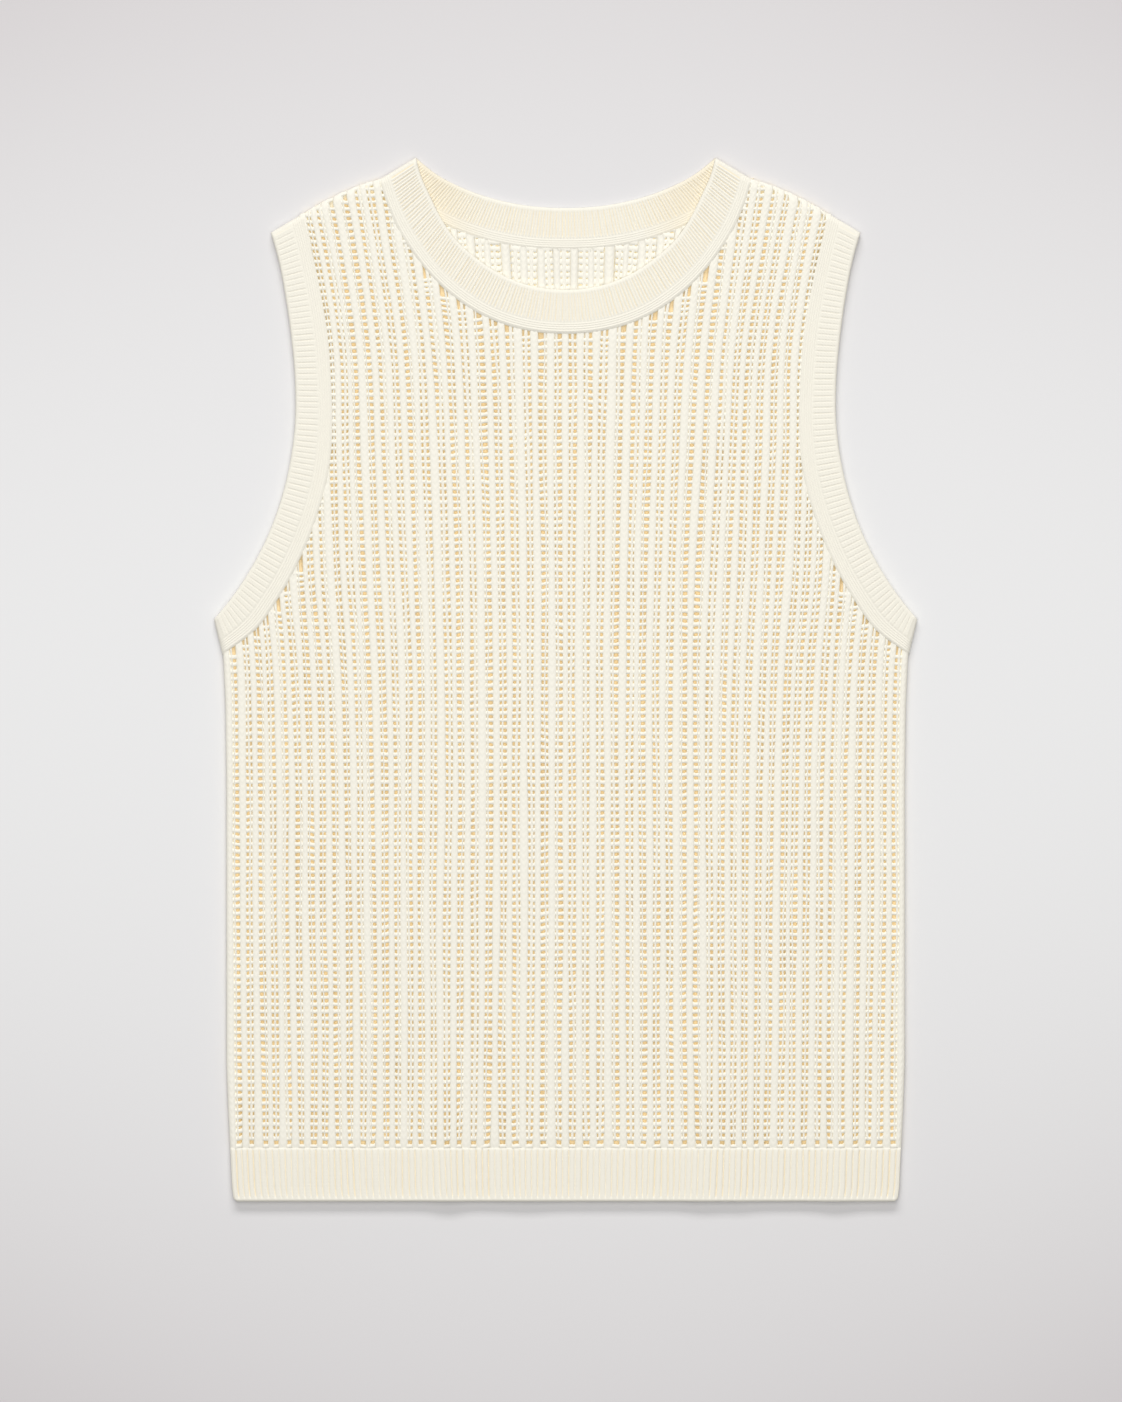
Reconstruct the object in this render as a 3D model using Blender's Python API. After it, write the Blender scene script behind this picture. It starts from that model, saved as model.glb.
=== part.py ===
# A sleeveless knitted vest in ivory cotton, laid flat on its back.
# X runs across the body, Y from the hem up to the neck, Z off the surface that it lies on.
# The back layer rests on that surface and the front layer lies on the back layer.
# Every size is in millimetres until a mesh is made.

import bmesh
import bpy
import numpy as np

MM = 0.001

# Driving dimensions
SEAM_GAP = 0.3              # clearance between sewn pieces and between the two layers
CLOTH = 2.6                 # knitted wall, over the crest of a rib
LADDER_CLOTH = 1.5          # thinner wall along the open ladders between the ribs
BAND_CLOTH = 3.0            # trim bands are knitted a little thicker
BAND_VALLEY = 2.1           # their wall in the valley between two ribs
STRIP_CLOTH = 2.5           # smooth linking strip that covers the panel's cut edge
BACK_TOP = CLOTH
FRONT_BASE = CLOTH + SEAM_GAP

HEM_Y = -312.9              # free edge of the hem
HEM_SEAM_Y = -280.6         # where the hem rib meets the body knit
PANEL_TOP_Y = 306.0         # past the highest point of either panel
EDGE_CHAMFER = 1.6          # softened outer edge of a panel
EDGE_SIDE = 1.1             # height of that edge before the chamfer starts
FOLD_REACH = 3.4            # how far a band's fold runs past its last flat station

LADDERS = 26                # ladders on each side of the middle rib
LADDER_WIDTH = 4.4          # low strip between two ribs
RIB_SLOPE = 1.2             # across the slope from a ladder up to a rib's crest
HEM_RIBS = 106              # two hem ribs under each body rib
NECK_FRONT_RIBS = 62
NECK_BACK_RIBS = 46
ARM_RIBS = 60

# Shares of a trim band's width, from its free edge to its seam
LIP_SHARE = 0.07            # rounded free edge
NECK_RIB_SHARE = 0.72       # end of the ribs, where the linking strip starts
ARM_RIB_SHARE = 0.62
GROOVE_SHARE = 0.05         # groove between the ribs and the strip
GROOVE_DEPTH = 0.5
LIP_HEIGHT = 1.1            # height of the free edge's outermost line above the band's base
OUTER_POINTS = 5            # points on the outer side of a band's section
FOLD_TURNS = (50, 0, -50)   # degrees at which a fold is drawn
FOLD_HOLLOW = 0.5           # how far the fold's inside opens
FOLD_INNER_SHARE = 0.3      # how far its inside runs along the reach

# How finely plain edges are followed
BAND_STEPS = 40             # stations on an armhole band's plain underside
ARM_POINTS = 40             # points along each panel's armhole
NECK_POINTS = 24            # points along half of each panel's neck edge
INSIDE_COLUMNS = 41         # points across the front's plain inside

IVORY = (0.871, 0.823, 0.701, 1.0)
IVORY_RIB = (0.880, 0.836, 0.722, 1.0)


def table(columns, rows):
    return dict(zip(columns.split(), np.array(rows, float).T))


# Armhole band from the shoulder tip down to the underarm, right side
ARM = table("free_x free_y seam_x seam_y", (
    (176.8, 267.9, 157.6, 279.3),
    (172.0, 250.5, 152.2, 257.7),
    (167.7, 227.7, 146.6, 231.6),
    (164.4, 203.7, 142.3, 205.5),
    (162.3, 179.7, 140.4, 179.7),
    (162.2, 155.7, 139.6, 154.6),
    (165.0, 131.7, 141.4, 127.6),
    (170.7, 107.7, 148.0, 100.5),
    (179.7, 83.7, 158.8, 72.9),
    (192.9, 59.7, 173.8, 45.9),
    (201.3, 47.7, 185.2, 30.3),
    (210.9, 36.0, 205.7, 14.7),
))

# Neck band from the left shoulder fold to the middle, on the front and on the back
NECK_FRONT = table("free_x free_y seam_x seam_y", (
    (-89.8, 312.9, -112.0, 299.7),
    (-86.8, 302.1, -107.6, 285.9),
    (-81.4, 290.1, -101.6, 271.5),
    (-74.8, 276.9, -92.4, 256.5),
    (-66.0, 264.0, -81.0, 242.1),
    (-51.8, 251.4, -66.0, 228.3),
    (-36.4, 241.8, -47.6, 216.9),
    (-18.6, 235.6, -24.6, 209.3),
    (0.0, 233.7, 0.0, 207.0),
))
NECK_BACK = table("free_x free_y seam_x seam_y", (
    (-89.8, 312.9, -112.0, 299.7),
    (-78.4, 303.7, -98.2, 287.6),
    (-60.4, 294.3, -74.8, 273.5),
    (-42.0, 288.1, -51.4, 264.3),
    (-21.4, 284.1, -25.6, 259.0),
    (0.0, 282.9, 0.0, 257.7),
))

# Shoulder line between the armhole band and the neck band, right side
SHOULDER = table("x y", (
    (147.0, 285.6),
    (135.0, 291.6),
    (123.0, 296.6),
))

# Half width of the body, from the hem's rounded corner up the side seam
SIDE = table("y half_width", (
    (HEM_Y, 197.2),
    (-311.3, 199.2),
    (-305.0, 200.1),
    (-285.0, 201.0),
    (-258.0, 202.4),
    (-230.0, 203.4),
    (-60.0, 203.4),
    (-15.0, 204.0),
    (14.4, 205.4),
))

# How the ribs fan out: x of the 9th, 17th and 26th ladder from the middle at each height
RIB_FAN = table("y ninth seventeenth last", (
    (-281.0, 71.4, 128.6, 195.6),
    (-205.0, 71.0, 129.2, 196.6),
    (-130.0, 70.8, 130.0, 197.2),
    (-50.0, 70.6, 131.0, 197.4),
    (12.0, 71.0, 133.2, 199.0),
    (60.0, 72.0, 136.8, 204.0),
    (132.0, 75.0, 139.6, 204.0),
    (200.0, 78.6, 141.4, 203.0),
    (262.0, 86.0, 151.0, 210.0),
    (304.0, 91.0, 160.0, 218.0),
))
FAN_LADDERS = (0.0, 8.5, 16.5, 25.5)    # those ladders, counted in ribs from the middle

# Soft upright waves in the front that grow towards the hem
WAVES = table("x top_y width lift", (
    (-71.0, -170.0, 9.0, 1.5),
    (-24.0, -225.0, 14.0, 0.7),
    (83.0, -120.0, 12.0, 1.1),
    (104.0, -190.0, 9.0, 0.8),
    (162.0, -140.0, 11.0, 1.2),
))


def smooth(knots, values, at):
    # cubic curve through the values, with the slopes that they give themselves
    slopes = np.gradient(values, knots, axis=0)
    i = np.clip(np.searchsorted(knots, at) - 1, 0, len(knots) - 2)
    step = knots[i + 1] - knots[i]
    s = (at - knots[i]) / step
    start = values[i] * (2 * s**3 - 3 * s**2 + 1) + slopes[i] * step * (s**3 - 2 * s**2 + s)
    end = values[i + 1] * (3 * s**2 - 2 * s**3) + slopes[i + 1] * step * (s**3 - s**2)
    return start + end


def half_width(y):
    return float(np.interp(y, SIDE["y"], SIDE["half_width"]))


def wave_lift(x, y):
    # the front layer lifts off the back along a few soft waves
    grown = np.clip((WAVES["top_y"] - y) / (WAVES["top_y"] - HEM_Y), 0.0, 1.0)
    across = np.exp(-(((x - WAVES["x"]) / WAVES["width"]) ** 2))
    return float(np.sum(WAVES["lift"] * np.sin(0.5 * np.pi * grown) ** 2 * across))


class Strip:
    # A band between a free edge and a seam, followed by its share of the length.

    def __init__(self, rows):
        self.free = np.stack([rows["free_x"], rows["free_y"]], axis=1)
        self.seam = np.stack([rows["seam_x"], rows["seam_y"]], axis=1)
        middle = (self.free + self.seam) / 2
        steps = np.linalg.norm(np.diff(middle, axis=0), axis=1)
        self.knots = np.concatenate([[0.0], np.cumsum(steps)])
        self.length = self.knots[-1]

    def ends(self, share):
        at = share * self.length
        return smooth(self.knots, self.free, at), smooth(self.knots, self.seam, at)

    def point(self, share, across):
        # across is 0 on the free edge and 1 on the seam
        free, seam = self.ends(share)
        return free * (1 - across) + seam * across

    def panel_edge(self, share):
        # the neighbouring panel's edge, one seam gap past the band
        free, seam = self.ends(share)
        return self.point(share, 1 + SEAM_GAP / np.linalg.norm(seam - free))


def both_halves(half):
    # rows that run from the left to the middle, carried on to the right
    whole = {}
    for name, values in half.items():
        sign = -1 if name.endswith("_x") else 1
        whole[name] = np.concatenate([values, sign * values[-2::-1]])
    return whole


def side_of(rows, side):
    return {name: values * (side if name.endswith("_x") else 1) for name, values in rows.items()}


def new_object(name, bm, colour, cutter=False):
    bmesh.ops.recalc_face_normals(bm, faces=bm.faces)
    bmesh.ops.triangulate(bm, faces=[f for f in bm.faces if len(f.verts) > 4])
    bmesh.ops.scale(bm, vec=(MM, MM, MM), verts=bm.verts)
    mesh = bpy.data.meshes.new(name)
    bm.to_mesh(mesh)
    bm.free()
    mesh.shade_smooth()
    mesh.set_sharp_from_angle(angle=np.radians(50))
    thing = bpy.data.objects.new(name, mesh)
    bpy.context.scene.collection.objects.link(thing)
    if cutter:
        thing.hide_render = True
        thing.display_type = "WIRE"
        return thing
    material = bpy.data.materials.new(name + "_cotton")
    material.use_nodes = True
    shader = material.node_tree.nodes["Principled BSDF"]
    shader.inputs["Base Color"].default_value = colour
    shader.inputs["Roughness"].default_value = 0.92
    shader.inputs["Metallic"].default_value = 0.0
    mesh.materials.append(material)
    return thing


def join_rows(bm, rows, around):
    for here, there in zip(rows, rows[1:]):
        count = len(here)
        for i in range(count if around else count - 1):
            j = (i + 1) % count
            bm.faces.new((here[i], here[j], there[j], there[i]))


def loft(rings, closed):
    # rings of points joined by quads; a closed loft runs back to its first ring
    bm = bmesh.new()
    made = [[bm.verts.new(p) for p in ring] for ring in rings]
    join_rows(bm, made + made[:1] if closed else made, around=True)
    if not closed:
        bm.faces.new(made[0])
        bm.faces.new(made[-1])
    return bm


def front_section(rib_share, crest):
    # a band's wall on the front: lip, ribs, groove and strip, then its plain inner side
    rib = FRONT_BASE + (BAND_CLOTH if crest else BAND_VALLEY)
    strip = FRONT_BASE + STRIP_CLOTH
    outer = [(0.0, FRONT_BASE + LIP_HEIGHT), (LIP_SHARE, rib), (rib_share, rib)]
    outer += [(rib_share + GROOVE_SHARE, strip - GROOVE_DEPTH), (1.0, strip)]
    return outer + [(1.0, FRONT_BASE), (rib_share, FRONT_BASE), (LIP_SHARE, FRONT_BASE)]


def back_section(rib_share, crest):
    # the same wall on the back: its outer side rests flat, and its ribs show on the inner side
    rib = BACK_TOP - (0.0 if crest else BAND_CLOTH - BAND_VALLEY)
    outer = [(0.0, LIP_HEIGHT), (LIP_SHARE, 0.0), (rib_share, 0.0)]
    outer += [(rib_share + GROOVE_SHARE, 0.0), (1.0, 0.0)]
    return outer + [(1.0, BACK_TOP), (rib_share, rib), (LIP_SHARE, rib)]


def flat_ring(strip, share, section):
    return [(*strip.point(share, across), z) for across, z in section]


def fold_rings(above, below, edge):
    # the band turns from the front layer into the back one along a rounded fold
    middle = (FRONT_BASE + BACK_TOP) / 2
    rings = []
    for degrees in FOLD_TURNS:
        turn = np.radians(degrees)
        ring = []
        for i, (x, y, z) in enumerate(above if degrees > 0 else below):
            reach = np.cos(turn)
            if i < OUTER_POINTS:
                z = middle + (z - middle) * abs(np.sin(turn))
            else:
                z = middle + np.sin(turn) * (SEAM_GAP / 2 + FOLD_HOLLOW * reach)
                reach *= FOLD_INNER_SHARE
            ring.append((x + (edge[i][0] - x) * reach, y + (edge[i][1] - y) * reach, z))
        rings.append(ring)
    return rings


def stations(strip, count):
    # shares along a band, ending one fold's reach short of both folds
    margin = FOLD_REACH / strip.length
    return np.linspace(margin, 1 - margin, count)


def band(name, front, front_shares, back, back_shares, rib_share):
    # a ring of trim laid flat: along the front layer, round a fold and back along the back layer
    above = []
    for i, share in enumerate(front_shares):
        above.append(flat_ring(front, share, front_section(rib_share, i % 2 == 1)))
    below = []
    for i, share in enumerate(back_shares):
        ribbed = front is not back
        below.append(flat_ring(back, share, back_section(rib_share, not ribbed or i % 2 == 1)))
    first, last = (flat_ring(front, share, front_section(rib_share, False)) for share in (0, 1))
    rings = above + fold_rings(above[-1], below[-1], last)
    rings += below[::-1] + fold_rings(above[0], below[0], first)[::-1]
    return new_object(name, loft(rings, closed=True), IVORY_RIB)


def neck_band():
    front = Strip(both_halves(NECK_FRONT))
    back = Strip(both_halves(NECK_BACK))
    front_shares = stations(front, 2 * NECK_FRONT_RIBS + 1)
    back_shares = stations(back, 2 * NECK_BACK_RIBS + 1)
    return band("neck_band", front, front_shares, back, back_shares, NECK_RIB_SHARE)


def arm_band(name, side):
    strip = Strip(side_of(ARM, side))
    front_shares = stations(strip, 2 * ARM_RIBS + 1)
    back_shares = stations(strip, BAND_STEPS)
    return band(name, strip, front_shares, strip, back_shares, ARM_RIB_SHARE)


def panel_outline(neck):
    # the right half runs up the side, round the armhole and along the neck to the middle
    heights = [HEM_SEAM_Y, *SIDE["y"][SIDE["y"] > HEM_SEAM_Y][:-1]]
    right = [(half_width(y), y) for y in heights]
    arm = Strip(ARM)
    right += [tuple(arm.panel_edge(share)) for share in np.linspace(1.0, 0.0, ARM_POINTS)]
    right += list(zip(SHOULDER["x"], SHOULDER["y"]))
    collar = Strip(both_halves(neck))
    right += [tuple(collar.panel_edge(share)) for share in np.linspace(1.0, 0.5, NECK_POINTS)]
    left = [(-x, y) for x, y in right[:-1]]
    return np.array(right + left[::-1])


def inset(points, distance):
    ahead = np.roll(points, -1, axis=0) - points
    normals = np.stack([-ahead[:, 1], ahead[:, 0]], axis=1)
    normals /= np.linalg.norm(normals, axis=1)[:, None]
    both = normals + np.roll(normals, 1, axis=0)
    both /= np.linalg.norm(both, axis=1)[:, None]
    return points + both * distance


def outline_stack(outline, levels):
    # the outline at several heights, each inset by its own distance
    return [[(x, y, z) for x, y in inset(outline, distance)] for distance, z in levels]


def ladder_x(number, y):
    # where a ladder runs at a height; its signed number counts from the middle rib
    fan = [smooth(RIB_FAN["y"], RIB_FAN[name], y) for name in ("ninth", "seventeenth", "last")]
    at = abs(number) - 0.5
    return float(np.sign(number) * smooth(np.array(FAN_LADDERS), np.array([0.0, *fan]), at))


def ribbed_row(y):
    # points across the ribbed knit at one height: low along each ladder, high along each rib
    low = FRONT_BASE + LADDER_CLOTH
    high = FRONT_BASE + CLOTH
    half = LADDER_WIDTH / 2
    row = []
    for number in range(-LADDERS - 1, LADDERS + 2):
        if number == 0:
            continue
        centre = ladder_x(number, y)
        for offset, z in ((-half - RIB_SLOPE, high), (-half, low), (half, low), (half + RIB_SLOPE, high)):
            row.append((centre + offset, y, z + wave_lift(centre + offset, y)))
    return row


def ribbed_slab():
    # the knit before its outline is cut, with ribs on the outside over a plain inside
    heights = np.array(RIB_FAN["y"])
    heights[0] = HEM_SEAM_Y - EDGE_CHAMFER
    heights[-1] = PANEL_TOP_Y
    bm = bmesh.new()
    outside = [[bm.verts.new(p) for p in ribbed_row(y)] for y in heights]
    reach = max(abs(row[0].co.x) for row in outside)
    across = np.linspace(-reach, reach, INSIDE_COLUMNS)
    inside = []
    for y in heights:
        inside.append([bm.verts.new((x, y, FRONT_BASE + wave_lift(x, y))) for x in across])
    join_rows(bm, outside, around=False)
    join_rows(bm, inside, around=False)
    for end in (0, -1):
        bm.faces.new(outside[end] + inside[end][::-1])
        bm.faces.new([row[end] for row in outside] + [row[end] for row in inside][::-1])
    return bm


def front_panel():
    crest = FRONT_BASE + CLOTH
    levels = (
        (0.0, FRONT_BASE - EDGE_SIDE),
        (0.0, FRONT_BASE + EDGE_SIDE),
        (EDGE_CHAMFER, crest),
        (EDGE_CHAMFER, crest + CLOTH),
    )
    prism = loft(outline_stack(panel_outline(NECK_FRONT), levels), closed=False)
    cutter = new_object("front_outline", prism, IVORY, cutter=True)
    panel = new_object("front_panel", ribbed_slab(), IVORY)
    cut = panel.modifiers.new("outline", "BOOLEAN")
    cut.operation = "INTERSECT"
    cut.solver = "EXACT"
    cut.object = cutter
    return panel


def back_panel():
    levels = ((EDGE_CHAMFER, 0.0), (0.0, BACK_TOP - EDGE_SIDE), (0.0, BACK_TOP))
    stack = outline_stack(panel_outline(NECK_BACK), levels)
    return new_object("back_panel", loft(stack, closed=False), IVORY)


def hem(name, sections):
    # one wall section for each station across the body, as (y, z, lifts with the waves)
    rings = []
    for share, section in sections:
        ring = []
        for y, z, lifts in section:
            x = share * half_width(y)
            ring.append((x, y, z + (wave_lift(x, y) if lifts else 0.0)))
        rings.append(ring)
    return new_object(name, loft(rings, closed=False), IVORY_RIB)


def front_hem():
    seam_y = HEM_SEAM_Y - SEAM_GAP
    sections = []
    for i, share in enumerate(np.linspace(-1.0, 1.0, 2 * HEM_RIBS + 1)):
        rib = FRONT_BASE + (BAND_VALLEY if i % 2 == 0 else CLOTH)
        section = (
            (seam_y, FRONT_BASE, True),
            (seam_y, rib, True),
            (HEM_Y + EDGE_CHAMFER, rib, True),
            (HEM_Y, FRONT_BASE + LIP_HEIGHT, True),
            (HEM_Y + SEAM_GAP, FRONT_BASE, True),
        )
        sections.append((share, section))
    return hem("front_hem_rib", sections)


def back_hem():
    seam_y = HEM_SEAM_Y - SEAM_GAP
    section = (
        (seam_y, 0.0, False),
        (seam_y, BACK_TOP, False),
        (HEM_Y + SEAM_GAP, BACK_TOP, False),
        (HEM_Y, BACK_TOP - LIP_HEIGHT, False),
        (HEM_Y + EDGE_CHAMFER, 0.0, False),
    )
    return hem("back_hem_rib", [(share, section) for share in (-1.0, 1.0)])


for old in list(bpy.data.objects):
    bpy.data.objects.remove(old, do_unlink=True)

back_panel()
front_panel()
back_hem()
front_hem()
neck_band()
arm_band("left_armhole_band", -1)
arm_band("right_armhole_band", 1)
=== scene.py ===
import math

import bmesh
import bpy
import numpy as np
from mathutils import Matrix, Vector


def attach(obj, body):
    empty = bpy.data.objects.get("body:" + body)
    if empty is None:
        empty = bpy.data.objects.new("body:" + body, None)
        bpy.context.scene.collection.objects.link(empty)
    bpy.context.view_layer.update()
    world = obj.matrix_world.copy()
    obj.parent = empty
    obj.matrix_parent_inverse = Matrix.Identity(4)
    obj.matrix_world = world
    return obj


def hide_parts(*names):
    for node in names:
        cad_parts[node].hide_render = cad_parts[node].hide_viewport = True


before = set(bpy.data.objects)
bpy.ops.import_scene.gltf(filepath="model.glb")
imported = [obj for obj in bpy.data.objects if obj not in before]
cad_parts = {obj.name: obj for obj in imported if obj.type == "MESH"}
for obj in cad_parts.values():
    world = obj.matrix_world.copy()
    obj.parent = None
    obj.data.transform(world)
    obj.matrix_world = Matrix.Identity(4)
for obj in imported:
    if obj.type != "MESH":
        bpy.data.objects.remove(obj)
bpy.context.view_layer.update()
print("frame loaded:", sorted(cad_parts))

# Sizes are in millimetres up to the moment a mesh is made.
mm = 0.001

vest = {
    "frontBase": 2.9,      # inside of the front layer
    "frontWall": 2.6,      # front knit over the crest of a rib
    "backWall": 2.6,       # back layer, which rests on the table
    "foldHeight": 2.75,    # height of the fold between the two layers
    "hemY": -312.9,        # free edge
    "hemSeamY": -280.6,    # where the hem rib meets the body knit
    "topY": 306.0,         # higher than any course of the knit
    "seamGap": 0.3,
    # the neck opening shows the back in full up to the first distance from the middle, and
    # not at all past the second; not below the first height, and in full over the second
    "openingSide": (82.0, 112.0),
    "openingBottom": (202.0, 226.0),
}


def table(columns, rows):
    return dict(zip(columns.split(), np.array(rows, float).T))


# Armhole band from the shoulder tip down to the underarm, right side
armTable = table("freeX freeY seamX seamY", (
    (176.8, 267.9, 157.6, 279.3),
    (172.0, 250.5, 152.2, 257.7),
    (167.7, 227.7, 146.6, 231.6),
    (164.4, 203.7, 142.3, 205.5),
    (162.3, 179.7, 140.4, 179.7),
    (162.2, 155.7, 139.6, 154.6),
    (165.0, 131.7, 141.4, 127.6),
    (170.7, 107.7, 148.0, 100.5),
    (179.7, 83.7, 158.8, 72.9),
    (192.9, 59.7, 173.8, 45.9),
    (201.3, 47.7, 185.2, 30.3),
    (210.9, 36.0, 205.7, 14.7),
))

# Neck band from the left shoulder fold to the middle
neckFrontTable = table("freeX freeY seamX seamY", (
    (-89.8, 312.9, -112.0, 299.7),
    (-86.8, 302.1, -107.6, 285.9),
    (-81.4, 290.1, -101.6, 271.5),
    (-74.8, 276.9, -92.4, 256.5),
    (-66.0, 264.0, -81.0, 242.1),
    (-51.8, 251.4, -66.0, 228.3),
    (-36.4, 241.8, -47.6, 216.9),
    (-18.6, 235.6, -24.6, 209.3),
    (0.0, 233.7, 0.0, 207.0),
))
neckBackTable = table("freeX freeY seamX seamY", (
    (-89.8, 312.9, -112.0, 299.7),
    (-78.4, 303.7, -98.2, 287.6),
    (-60.4, 294.3, -74.8, 273.5),
    (-42.0, 288.1, -51.4, 264.3),
    (-21.4, 284.1, -25.6, 259.0),
    (0.0, 282.9, 0.0, 257.7),
))

# Shoulder line from the armhole band's seam to the neck band's seam, right side
shoulderTable = table("x y", (
    (112.0, 299.9),
    (123.0, 296.6),
    (135.0, 291.6),
    (147.0, 285.6),
    (157.6, 279.3),
))

# Half width of the body from the hem's rounded corner up the side
sideTable = table("y halfWidth", (
    (-312.9, 197.2),
    (-311.3, 199.2),
    (-305.0, 200.1),
    (-285.0, 201.0),
    (-258.0, 202.4),
    (-230.0, 203.4),
    (-60.0, 203.4),
    (-15.0, 204.0),
    (14.4, 205.4),
))

# x of the 9th, 17th and 26th ladder from the middle at each height
fanTable = table("y ninth seventeenth last", (
    (-281.0, 71.4, 128.6, 195.6),
    (-205.0, 71.0, 129.2, 196.6),
    (-130.0, 70.8, 130.0, 197.2),
    (-50.0, 70.6, 131.0, 197.4),
    (12.0, 71.0, 133.2, 199.0),
    (60.0, 72.0, 136.8, 204.0),
    (132.0, 75.0, 139.6, 204.0),
    (200.0, 78.6, 141.4, 203.0),
    (262.0, 86.0, 151.0, 210.0),
    (304.0, 91.0, 160.0, 218.0),
))
fanLadders = np.array((0.0, 8.5, 16.5, 25.5))

# Soft upright waves in the front that grow towards the hem
waveTable = table("x topY width lift", (
    (-71.0, -170.0, 9.0, 1.5),
    (-24.0, -225.0, 14.0, 0.7),
    (83.0, -120.0, 12.0, 1.1),
    (104.0, -190.0, 9.0, 0.8),
    (162.0, -140.0, 11.0, 1.2),
))


def smooth(knots, values, at):
    # cubic curve through the values, with slopes worked out from their neighbours
    at = np.atleast_1d(np.asarray(at, float))
    slopes = np.gradient(values, knots, axis=0)
    i = np.clip(np.searchsorted(knots, at) - 1, 0, len(knots) - 2)
    step = knots[i + 1] - knots[i]
    s = (at - knots[i]) / step
    return (
        values[i] * (2 * s**3 - 3 * s**2 + 1)
        + slopes[i] * step * (s**3 - 2 * s**2 + s)
        + values[i + 1] * (3 * s**2 - 2 * s**3)
        + slopes[i + 1] * step * (s**3 - s**2)
    )


def ease(low, high, value):
    share = np.clip((value - low) / (high - low), 0.0, 1.0)
    return share * share * (3 - 2 * share)


def halfWidth(y):
    return np.interp(y, sideTable["y"], sideTable["halfWidth"])


def waveLift(x, y):
    x, y = np.asarray(x, float), np.asarray(y, float)
    lift = np.zeros(np.broadcast(x, y).shape)
    for waveX, topY, width, high in zip(*(waveTable[name] for name in ("x", "topY", "width", "lift"))):
        grown = np.clip((topY - y) / (topY - vest["hemY"]), 0.0, 1.0)
        lift += high * np.sin(0.5 * np.pi * grown) ** 2 * np.exp(-(((x - waveX) / width) ** 2))
    return lift


def drift(seed, at, stretch, size):
    # slow wander along a line, as the feed and the steaming leave in knitting
    draw = np.random.default_rng(seed)
    knots = np.arange(np.min(at) - stretch, np.max(at) + 2 * stretch, stretch)
    return size * smooth(knots, np.clip(draw.normal(0.0, 1.0, len(knots)), -2.0, 2.0), at)


class Trim:
    # a band between a free edge and a seam, followed by its share of the length

    def __init__(self, rows):
        self.free = [rows["freeX"], rows["freeY"]]
        self.seam = [rows["seamX"], rows["seamY"]]
        middle = np.stack([(rows["freeX"] + rows["seamX"]) / 2, (rows["freeY"] + rows["seamY"]) / 2], axis=1)
        self.knots = np.concatenate([[0.0], np.cumsum(np.linalg.norm(np.diff(middle, axis=0), axis=1))])
        self.length = self.knots[-1]

    def at(self, share):
        free = np.stack([smooth(self.knots, values, share * self.length) for values in self.free], axis=-1)
        seam = np.stack([smooth(self.knots, values, share * self.length) for values in self.seam], axis=-1)
        return free, seam

    def edge(self, share, past):
        # a line beside the seam, so many millimetres past it
        free, seam = self.at(share)
        ahead = seam - free
        return seam + ahead / np.linalg.norm(ahead, axis=1)[:, None] * past


def wholeOf(half):
    whole = {}
    for name, values in half.items():
        sign = -1 if name.endswith("X") else 1
        whole[name] = np.concatenate([values, sign * values[-2::-1]])
    return whole


def sideOf(rows, side):
    return {name: values * (side if name.endswith("X") else 1) for name, values in rows.items()}


# Node trees are written as sums: a Wire is one output socket with the usual operators.


class Wire:
    def __init__(self, tree, socket):
        self.tree = tree
        self.socket = socket

    def maths(self, how, first, second=0.0):
        return self.tree.add("ShaderNodeMath", {"operation": how}, {0: first, 1: second})

    def __add__(self, other):
        return self.maths("ADD", self, other)

    def __radd__(self, other):
        return self.maths("ADD", other, self)

    def __sub__(self, other):
        return self.maths("SUBTRACT", self, other)

    def __rsub__(self, other):
        return self.maths("SUBTRACT", other, self)

    def __mul__(self, other):
        return self.maths("MULTIPLY", self, other)

    def __rmul__(self, other):
        return self.maths("MULTIPLY", other, self)

    def __abs__(self):
        return self.maths("ABSOLUTE", self)

    def sine(self):
        return self.maths("SINE", self)

    def power(self, other):
        return self.maths("POWER", self, other)


class Tree:
    def __init__(self, tree):
        self.tree = tree

    def add(self, kind, settings=None, inputs=None, out=0):
        # one node: its settings first, then its input values or links
        node = self.tree.nodes.new(kind)
        for name, value in (settings or {}).items():
            setattr(node, name, value)
        for name, value in (inputs or {}).items():
            if isinstance(value, Wire):
                self.link(value, node.inputs[name])
            else:
                node.inputs[name].default_value = value
        return Wire(self, node.outputs[out])

    def link(self, wire, socket):
        self.tree.links.new(wire.socket, socket)

    def split(self, vector):
        # the three parts of a vector
        node = self.add("ShaderNodeSeparateXYZ", {}, {"Vector": vector}).socket.node
        return [Wire(self, output) for output in node.outputs]

    def stored(self, label, kind="FLOAT"):
        # a mesh attribute in a geometry tree
        return self.add("GeometryNodeInputNamedAttribute", {"data_type": kind}, {"Name": label})

    def painted(self, label):
        # a mesh attribute in a material
        return self.add("ShaderNodeAttribute", {"attribute_name": label}, out="Fac")

    def noise(self, place, scale, detail):
        return self.add("ShaderNodeTexNoise", {}, {"Vector": place, "Scale": scale, "Detail": detail})

    def rises(self, value, low, high):
        # from 0 at the low value to 1 at the high one, with a soft start and end
        return self.add("ShaderNodeMapRange", {"interpolation_type": "SMOOTHSTEP"},
                        {"Value": value, "From Min": low, "From Max": high})

    def ramp(self, value, stops):
        node = self.tree.nodes.new("ShaderNodeValToRGB")
        line = node.color_ramp
        line.elements.remove(line.elements[0])
        for i, (place, colour) in enumerate(stops):
            stop = line.elements[0] if i == 0 else line.elements.new(place)
            stop.position, stop.color = place, (*colour, 1.0)
        self.link(value, node.inputs[0])
        return Wire(self, node.outputs[0])


def mixed(one, two, share):
    return tuple(a + (b - a) * share for a, b in zip(one, two))


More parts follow.
